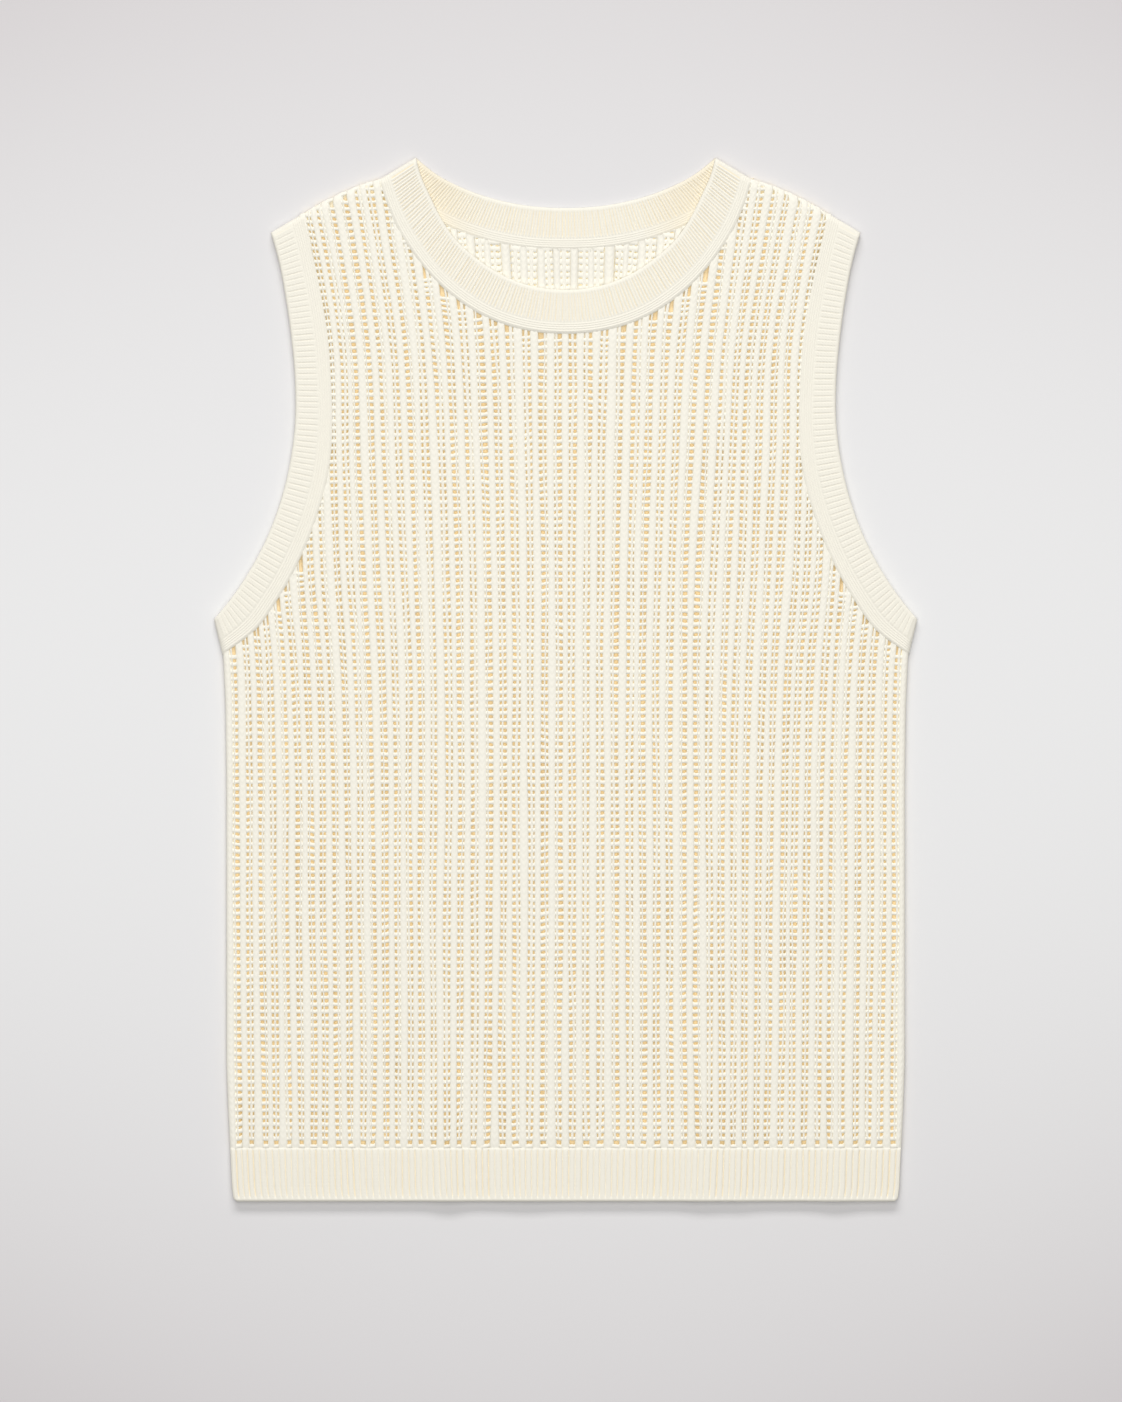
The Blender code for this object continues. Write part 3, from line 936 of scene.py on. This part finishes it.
def purlRails(ladders, heights, layer, edges):
    # the recessed wales, and the back's loose yarn behind its ladders in the neck opening
    purls, floats = Rails(), Rails()
    for ladder in ladders:
        half = ladder["half"] * (1 + 0.5 * (layer["fullness"] - 1))
        left, right = ladder["purl"] - half, ladder["purl"] + half
        for row in stripRows(left, right, heights, layer, edges, layer["purlTuck"]):
            if len(row[0]) < openwork["shortestPurl"]:
                continue
            if row[1][0] < vest["hemSeamY"]:  # the first course over the hem is one wide hole
                row = [values[2:] for values in row]
            x, y, z, w, tall, course = row
            purls.add(x, y, z + openwork["purlBase"], w, tall, course)
            if layer["isFront"]:
                continue
            for a, b in runsOf(inOpening(x, y) > openwork["floatFrom"]):
                wide = np.interp(y[a:b], heights, ladder["gap"]) + openwork["floatOver"]
                middle = np.interp(y[a:b], heights, ladder["middle"])
                floats.add(middle, y[a:b], z[a:b], wide, np.ones(b - a), course[a:b])
    return purls, floats


def rungRows(ladder, heights, layer, edges):
    # place, reach, pitch and tilt of each rung in one ladder
    purl = ladder["purl"]
    distance = fromSeam(np.stack([purl, heights], axis=1), *edges)
    top = shoulderTop(purl)
    last = np.flatnonzero(distance > rungs["seamClear"])[-1]
    after = min(last + 1, len(heights) - 1)
    # 1 where the seam crosses the ladder squarely, 0 where it runs along it
    square = np.clip((distance[last] - distance[after]) / openwork["courseHigh"], 0.0, 1.0)
    toSeam = layer["isFront"] and top[last] - heights[last] >= waleEnd["nearShoulder"]
    under = rungs["under"] * ((1 - square) if toSeam else 1)
    past = distance > rungs["seamClear"] - under
    uppermost = np.flatnonzero(past & (heights < top - rungs["shoulderClear"]))[-1]
    shift = 0.0
    if toSeam and square > 0.5:
        if distance[uppermost] < rungs["nearest"]:
            uppermost -= 1
        shift = rungs["firstHole"] - distance[uppermost]
    rows = []
    for j in range(min(uppermost + 1, len(heights) - 1)):
        if not past[j]:
            continue
        y = heights[j] if j else heights[0] - rungs["hemShift"]
        y = y - shift * max(0.0, 1 - (uppermost - j) / rungs["spread"])
        z = layer["base"] + rungs["height"] + (float(waveLift(purl[j], y)) if layer["isFront"] else 0.0)
        reach = (ladder["gap"][j] + abs(purl[j] - ladder["middle"][j]) + rungs["over"]) * mm
        pitch = (heights[j + 1] - heights[j]) / rungs["perCourse"] * layer["fullness"]
        rows.append(((purl[j] * mm, y * mm, z * mm), reach, pitch, ladder["tilt"][j]))
    return rows


def knitPanel(name, layer):
    heights = courseHeights()
    edges = seamLines(layer["neck"]), outlineOf(layer["neck"])
    ladders = ladderLines(heights, layer)
    tree, ids = ribTree(name + "_ribs", bodyKnit)
    wall, purlWall = layer["wall"], openwork["purlWall"]
    parts = [ribRails(ladders, heights, layer, edges).swept(name + "_rib", layer["section"], wall, tree, ids)]
    for side, outer in ((-1, ladders[0]), (1, ladders[-1])):
        rails = sideRails(outer, side, heights, layer, edges)
        parts.append(paleEdge(rails.swept(name + "_side", sideSection, wall, tree, ids)))
    purls, floats = purlRails(ladders, heights, layer, edges)
    parts.append(purls.swept(name + "_purl", purlSection, purlWall, tree, ids))
    if layer["isFront"]:
        parts += [shoulderFold(side) for side in (-1, 1)]
    else:
        parts.append(floats.swept(name + "_float", floatSection, purlWall, tree, ids))
    knit = joined(name, parts)
    rows = [row for ladder in ladders for row in rungRows(ladder, heights, layer, edges)]
    points, reach, pitch, tilt = zip(*rows)
    tree, ids = rungTree(name + "_rungs", bodyKnit)
    dots = lineMesh(name + "_dots", points, [], {"reach": reach, "pitch": pitch, "tilt": tilt})
    shape = rungObject(name + "_rung")
    values = {"Rung": shape, "Thickness": mm, "Unevenness": rungs["uneven"], "Seed": layer["seed"]}
    rungMesh = grown(dots, tree, ids, values, name + "_rungs")
    cleared(dots, shape)
    print(f"{name}: {len(knit.data.polygons)} faces of ribs, {len(points)} rungs")
    return knit, newObject(name + "_rungs", rungMesh)


def markCover(piece):
    # tells the yarn of the back layer where the front lies over it, where the material paints shade and a
    # glow
    places = placesOf(piece.data)
    covered = np.ones(len(places), np.float32)
    sideX, lowY = covering["nearNeck"]
    near = np.flatnonzero((places[:, 1] > lowY) & (np.abs(places[:, 0]) < sideX))
    lines, outline = [seamLines(neckFrontTable)[1]], outlineOf(neckFrontTable)
    for part in np.array_split(near, max(1, len(near) // covering["atOnce"])):
        distance = fromSeam(places[part, :2].astype(float), lines, outline)
        covered[part] = ease(*covering["seam"], distance)
    covered *= 1 - ease(*covering["shoulder"], places[:, 1] - shoulderTop(places[:, 0]))
    storeNumbers(piece.data, {"cover": covered})


frontKnit, frontRungs = knitPanel("front_knit", frontLayer)
backKnit, backRungs = knitPanel("back_knit", backLayer)
markCover(backKnit)
markCover(backRungs)


# Bands and hem ribs: walls with the ribs in their upper side

bands = {
    "wall": 3.0,              # front half over the crest of a rib
    "backWall": 2.6,
    "foldReach": 3.4,         # of the turn at the shoulder points and the underarms
    "foldTurn": (88, 70, 48, 24),
    "perRib": 8,              # stations in a rib
    "perPlainRib": 2,
    "underPlaces": (0.985, 0.5, 0.02),   # of the underside's points across the band
    "wanderStretch": 14.0,
    "wander": 0.12,
    "ribStrength": (0.85, 1.12),
    "midStrength": (0.8, 1.15),
    "course": 1.9,            # height of a stitch
    "valleyShade": 1.12,       # painted shade: how much deeper the tone is made between ribs, per millimetre
}
neck = {
    "frontRibs": 71,
    "backRibs": 57,
    "ribShare": 0.72,         # of the width, the rest is the linking strip
    "stripCourses": 4,
    "valley": 0.85,           # depth between two ribs
    "midline": 0.85,          # share of it along the middle of a rib
    "cutWidth": 0.0258,       # in metres, as cut
    "seeds": (21, 22),
}
armhole = {
    "ribs": 76,
    "ribShare": 0.62,
    "stripCourses": 5,
    "valley": 0.44,
    "midline": 0.12,
    "cutWidth": 0.0224,
    "seeds": {"left": 31, "right": 41},
}

# the back half of the neck band is warmer towards the corners, in the shade of the front half
insideShade = {
    "corner": 0.72,
    "middle": 0.05,
    "from": 28.0,             # distances from the middle between which it deepens
    "to": 92.0,
    "lowest": 0.6,            # height over the table where it starts
}

# depth over one rib, between its valleys and along its middle
ribShape = np.array((1.0, 0.16, 0.0, 0.0, 0.0, 0.0, 0.0, 0.16))
midShape = np.array((0.0, 0.0, 0.0, 0.14, 1.0, 0.14, 0.0, 0.0))

# painted shade on the yarn where a wall is rounded off, and the tone of its underside
roundShade, undersideRise = 0.25, 0.9


def shadeInside(piece):
    places = placesOf(piece.data)
    inside = (places[:, 2] < vest["foldHeight"]) & (places[:, 2] > insideShade["lowest"])
    deeper = ease(insideShade["from"], insideShade["to"], np.abs(places[:, 0]))
    paintedShade = insideShade["corner"] * deeper + insideShade["middle"]
    storeNumbers(piece.data, {"cover": np.where(inside, paintedShade, 0.0)})


def ribDepth(samples, seed, midline):
    # depth along a row of ribs, each valley a little deeper or fainter than the next
    ribs = samples // bands["perRib"] + 1
    draw = np.random.default_rng(seed)
    strength = draw.uniform(*bands["ribStrength"], ribs)
    faint = draw.uniform(*bands["midStrength"], ribs) * midline
    depth = np.outer(strength, ribShape) + np.outer(faint, midShape)
    return depth.ravel()[:samples]


def bandSection(kind):
    # across the band from the free edge to the seam: place, share of the wall, share of the ribbing
    ribEnd, courses = kind["ribShare"], kind["stripCourses"]
    rows = [(0.0, 0.30, 0.0), (0.012, 0.66, 0.0), (0.035, 0.90, 0.0), (0.065, 0.985, 0.3),
            (0.10, 1.0, 0.75), (0.14, 1.0, 1.0)]
    rows += [(place, 1.0, 1.0) for place in np.linspace(0.2, ribEnd - 0.05, 6)]
    rows += [(ribEnd - 0.02, 0.99, 0.8), (ribEnd + 0.005, 0.93, 0.1)]
    start, end = ribEnd + 0.03, 0.955
    for i in range(4 * courses + 1):
        place = start + (end - start) * i / (4 * courses)
        rows.append((place, 0.90 - 0.055 * np.cos(i * np.pi / 2), 0.0))
    rows += [(0.978, 0.80, 0.0), (1.0, 0.58, 0.0)]
    return table("place wall ribbing", rows)


def ribWall(x, y, base, wall, wallShare, relief, squeeze, tone):
    # heights of a ribbed wall with a plain underside, turned over at its two ends, and its tones with painted
    # shade in the valleys and where it rounds off
    under = x.shape[1] - len(wallShare)
    plain = np.full((len(x), under), base)
    z = np.concatenate([base + wall * wallShare[None] - relief, plain], axis=1)
    z = vest["foldHeight"] + (z - vest["foldHeight"]) * squeeze[:, None]
    rise = np.concatenate([1 - tone - roundShade * (1 - wallShare[None]) ** 0.5,
                           np.full((len(x), under), undersideRise)], axis=1)
    return np.stack([x, y, z], axis=2), rise


def bandWall(path, ribs, kind, base, wall, seed, ribbed=True):
    # one half of a band, with its two ends turned over at the folds
    perRib = bands["perRib"] if ribbed else bands["perPlainRib"]
    samples = ribs * perRib + 1
    margin = bands["foldReach"] / path.length
    flat = np.linspace(margin, 1 - margin, samples)
    wandering = drift(seed, flat * path.length, bands["wanderStretch"], bands["wander"]) / path.length
    flat = flat + wandering * ease(0.0, 3.0 * margin, np.minimum(flat, 1 - flat) - margin)
    turn = np.radians(bands["foldTurn"])
    start = margin * (1 - np.sin(turn))
    shares = np.concatenate([start, flat, 1 - start[::-1]])
    squeeze = np.concatenate([np.cos(turn), np.ones(samples), np.cos(turn[::-1])])
    depth = ribDepth(samples, seed, kind["midline"]) if ribbed else np.zeros(samples)
    depth = np.pad(depth, len(turn))
    section = bandSection(kind)
    place = np.concatenate([section["place"], bands["underPlaces"]])
    free, seam = path.at(shares)
    xy = free[:, None] * (1 - place)[None, :, None] + seam[:, None] * place[None, :, None]
    relief = depth[:, None] * section["ribbing"][None] * kind["valley"]
    # the valleys between the ribs get painted shade by their depth
    rings, rise = ribWall(xy[..., 0], xy[..., 1], base, wall, section["wall"], relief, squeeze,
                          bands["valleyShade"] * relief)
    phase = np.arange(len(shares)) / perRib
    wales = np.repeat((np.abs((phase * 2) % 2 - 1))[:, None], len(place), axis=1)
    course = place[None] * np.linalg.norm(seam - free, axis=1)[:, None] / bands["course"]
    return loftMesh(rings, {"rise": rise, "across": wales, "course": course}, bandKnit)


def trimPiece(name, meshes):
    piece = joined(name, meshes)
    print(f"{name}: {len(piece.data.polygons)} faces")
    return piece


frontPath, backPath = Trim(wholeOf(neckFrontTable)), Trim(wholeOf(neckBackTable))
frontSeed, backSeed = neck["seeds"]
neckBand = trimPiece("neck_trim", [
    bandWall(frontPath, neck["frontRibs"], neck, vest["frontBase"], bands["wall"], frontSeed),
    bandWall(backPath, neck["backRibs"], neck, 0.0, bands["backWall"], backSeed),
])
shadeInside(neckBand)
armBands = {}
for sideName, side in (("left", -1), ("right", 1)):
    path, seed = Trim(sideOf(armTable, side)), armhole["seeds"][sideName]
    armBands[sideName] = trimPiece(sideName + "_arm_trim", [
        bandWall(path, armhole["ribs"], armhole, vest["frontBase"], bands["wall"], seed),
        bandWall(path, armhole["ribs"], armhole, 0.0, bands["backWall"], seed + 1, ribbed=False),
    ])


hem = {
    "wall": 2.6,
    "valley": 1.15,
    # painted shade between the ribs, per millimetre of their depth
    "valleyShade": 0.95,
    "lip": 2.3,               # smooth free edge
    "lean": 0.5,              # ribs lean a little to either side
    "leanStretch": 9.0,
    "ribs": 108,
    "uneven": 0.25,
    "unevenStretch": 11.0,
    "ribStrength": (0.7, 1.15),
    "firstRib": 3.0,          # from the side to the middle of the first valley
    "edge": 0.6,
    "turn": (88, 65, 35),
    "turnReach": 2.2,
    "widthAt": -300.0,        # the ribs are spaced over the width here
    "course": 2.1,
    "cutWidth": 0.4,          # in metres, as cut
    "cutLength": 0.0323,
    "seeds": (3, 8),
}
hemRibShape = np.array((1.0, 0.4, 0.0, 0.0, 0.06, 0.0, 0.0, 0.4))


def hemRibs(seed, half):
    # place, depth and phase of each station along the hem
    ribs = np.linspace(-half + hem["firstRib"], half - hem["firstRib"], hem["ribs"])
    ribs = ribs + drift(seed + 60, ribs, hem["unevenStretch"], hem["uneven"])
    knots = np.concatenate([[-half + hem["edge"]], ribs, [half - hem["edge"]]])
    strength = np.random.default_rng(seed + 5).uniform(*hem["ribStrength"], len(knots))
    strength[0] = strength[-1] = 0.0
    steps = len(hemRibShape)
    spots, depth, phase = [], [], []
    for i in range(len(knots) - 1):
        for k in range(steps):
            spots.append(knots[i] + (knots[i + 1] - knots[i]) * k / steps)
            near = strength[i] if k < steps / 2 else strength[i + 1]
            depth.append(hemRibShape[k] * near)
            phase.append(i + k / steps)
    return np.array(spots), np.array(depth), np.array(phase)


def hemSection():
    # from the seam to the free edge: y, share of the wall, share of the ribbing
    seamY, freeY, lip = vest["hemSeamY"] - 0.1, vest["hemY"], hem["lip"]
    rows = [(seamY, 0.74, 0.0), (seamY - 0.6, 0.89, 0.3), (seamY - 1.8, 0.97, 0.9)]
    rows += [(y, 1.0, 1.0) for y in np.linspace(seamY - 3.5, freeY + lip + 1.6, 6)]
    rows += [(freeY + lip, 1.0, 0.35), (freeY + 0.6 * lip, 0.99, 0.0), (freeY + 0.3 * lip, 0.93, 0.0),
             (freeY + 0.1 * lip, 0.72, 0.0), (freeY, 0.40, 0.0)]
    return table("y wall ribbing", rows), np.array((freeY + 0.4, (freeY + seamY) / 2, seamY - 0.3))


def hemWall(seed, base, wall, isFront):
    half = float(halfWidth(hem["widthAt"]))
    spots, depth, phase = hemRibs(seed, half)
    turn = np.radians(hem["turn"])
    side = (half - hem["turnReach"] * (1 - np.sin(turn))) / half
    share = np.concatenate([-side, spots / half, side[::-1]])
    squeeze = np.concatenate([np.cos(turn), np.ones(len(spots)), np.cos(turn[::-1])])
    depth, phase = np.pad(depth, len(turn)), np.pad(phase, len(turn), mode="edge")
    order = np.argsort(share, kind="stable")
    share, depth, phase, squeeze = share[order], depth[order], phase[order], squeeze[order]
    section, under = hemSection()
    y = np.concatenate([section["y"], under])
    seamY, freeY = y[0], vest["hemY"]
    leaning = drift(seed + 9, share * half, hem["leanStretch"], hem["lean"])
    down = np.clip((seamY - y) / (seamY - freeY), 0, 1)
    # the ribs lean more towards the free edge, but not at the sides
    leanHere = leaning[:, None] * down[None] * (1 - np.abs(share[:, None]) ** 8)
    x = share[:, None] * halfWidth(y)[None] + leanHere
    ribbing = depth[:, None] * section["ribbing"][None]
    # the valleys between the ribs get painted shade by their depth
    rings, rise = ribWall(x, np.repeat(y[None], len(share), axis=0), base, wall, section["wall"],
                          ribbing * hem["valley"], squeeze, hem["valleyShade"] * ribbing)
    if isFront:
        rings[..., 2] += waveLift(rings[..., 0], rings[..., 1])
    wales = np.repeat(np.abs((phase * 2) % 2 - 1)[:, None], len(y), axis=1)
    course = np.repeat((-y / hem["course"])[None], len(share), axis=0)
    return loftMesh(rings, {"rise": rise, "across": wales, "course": course}, bandKnit)


frontSeed, backSeed = hem["seeds"]
frontHem = trimPiece("front_hem_trim", [hemWall(frontSeed, vest["frontBase"], hem["wall"], True)])
backHem = trimPiece("back_hem_trim", [hemWall(backSeed, 0.0, vest["backWall"], False)])


# What each piece stands for and rides on, and the flat sizes of the panels


def flatPanel(neckRows):
    # width, length and area of a panel's outline above the hem rib, in metres
    outline = outlineOf(neckRows)
    ends = np.arange(len(outline)) % (len(outline) - 1) == 0
    outline = outline[(outline[:, 1] > vest["hemSeamY"]) | ends]
    outline[:, 1] = np.maximum(outline[:, 1], vest["hemSeamY"])
    x, y = outline.T * mm
    area = abs(np.dot(x, np.roll(y, 1)) - np.dot(y, np.roll(x, 1))) / 2
    return (float(np.ptp(x)), float(np.ptp(y))), float(area)


frontFlat, frontArea = flatPanel(neckFrontTable)
backFlat, backArea = flatPanel(neckBackTable)
armRound = 2 * Trim(armTable).length * mm
pieces = (
    (frontKnit, "front_panel", "ivory_body_knit"),
    (backKnit, "back_panel", "ivory_body_knit"),
    (frontHem, "front_hem_rib", "ivory_band_knit"),
    (backHem, "back_hem_rib", "ivory_band_knit"),
    (neckBand, "neck_band", "ivory_band_knit"),
    (armBands["left"], "left_armhole_band", "ivory_band_knit"),
    (armBands["right"], "right_armhole_band", "ivory_band_knit"),
)
for piece, node, slotName in pieces:
    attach(piece, "root")
    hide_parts(node)
for piece in (frontRungs, backRungs):
    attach(piece, "root")

# Table, light and camera

studio = {
    "camera": (-0.0028, -0.0129),       # straight above this place
    "distance": 4.0,
    "frameHeight": 0.8412,              # what the picture takes in at the table
    "sensor": 36.0,
    "farthest": 50.0,
    "floorSize": 14.0,
    "floorColour": (0.80, 0.797, 0.797),
    "floorRoughness": 0.85,
    "floorShine": 0.2,
    # painted shade: the table's colour far from the middle
    "falloffShadeColour": (0.36, 0.285, 0.30),
    "fallOff": 1.32,                    # painted shade: how fast the table's colour darkens up and down the picture
    "fallOffShift": 0.02,
    "cornerFallOff": 5.0,
    "fallOffStops": ((0.0, 0.0), (0.30, 0.30), (0.42, 0.39), (0.8, 0.45)),
    "keyPlace": (-0.3, 4.85, 3.4),
    "keySize": (4.6, 1.5),
    "keyPower": 213.0,
    "topPlace": (0.0, 0.0, 2.2),
    "topSize": (1.9, 1.9),
    "topPower": 28.5,
    "world": 0.24,
    "worldColour": (1.0, 0.995, 0.99, 1.0),
}


def studioFloor():
    half = studio["floorSize"] / 2
    mesh = bpy.data.meshes.new("floor")
    corners = [(-half, -half, 0), (half, -half, 0), (half, half, 0), (-half, half, 0)]
    mesh.from_pydata(corners, [], [(0, 1, 2, 3)])
    material = bpy.data.materials.new("pale_table")
    material.use_nodes = True
    shader = material.node_tree.nodes["Principled BSDF"]
    tree = Tree(material.node_tree)
    x, y, _ = tree.split(tree.add("ShaderNodeTexCoord", out="Object"))
    # painted shade: the table's colour darkens up and down the picture and towards the corners
    up = y + studio["fallOffShift"]
    away = up * up * studio["fallOff"] + x * x * y * y * studio["cornerFallOff"]
    stops = [(place, mixed(studio["floorColour"], studio["falloffShadeColour"], share))
             for place, share in studio["fallOffStops"]]
    tree.link(tree.ramp(away, stops), shader.inputs["Base Color"])
    shader.inputs["Roughness"].default_value = studio["floorRoughness"]
    shader.inputs["Specular IOR Level"].default_value = studio["floorShine"]
    mesh.materials.append(material)
    newObject("floor", mesh)


def softLight(name, place, size, power):
    # a panel of light that faces the middle of the table
    data = bpy.data.lights.new(name, "AREA")
    data.shape = "RECTANGLE"
    data.size, data.size_y = size
    data.energy = power
    lamp = newObject(name, data)
    lamp.location = place
    lamp.rotation_mode = "QUATERNION"
    lamp.rotation_quaternion = (-Vector(place)).to_track_quat("-Z", "Y")


def studioCamera():
    data = bpy.data.cameras.new("camera")
    data.sensor_width = studio["sensor"]
    data.lens = studio["sensor"] * studio["distance"] / studio["frameHeight"]
    data.clip_end = studio["farthest"]
    camera = newObject("camera", data)
    camera.location = (*studio["camera"], studio["distance"])
    bpy.context.scene.camera = camera


def studioWorld():
    world = bpy.data.worlds.new("studio")
    world.use_nodes = True
    background = world.node_tree.nodes["Background"]
    background.inputs["Color"].default_value = studio["worldColour"]
    background.inputs["Strength"].default_value = studio["world"]
    bpy.context.scene.world = world
    bpy.context.scene.view_settings.view_transform = "Standard"


studioFloor()
softLight("key", studio["keyPlace"], studio["keySize"], studio["keyPower"])
softLight("overhead", studio["topPlace"], studio["topSize"], studio["topPower"])
studioWorld()
studioCamera()
print("studio ready")
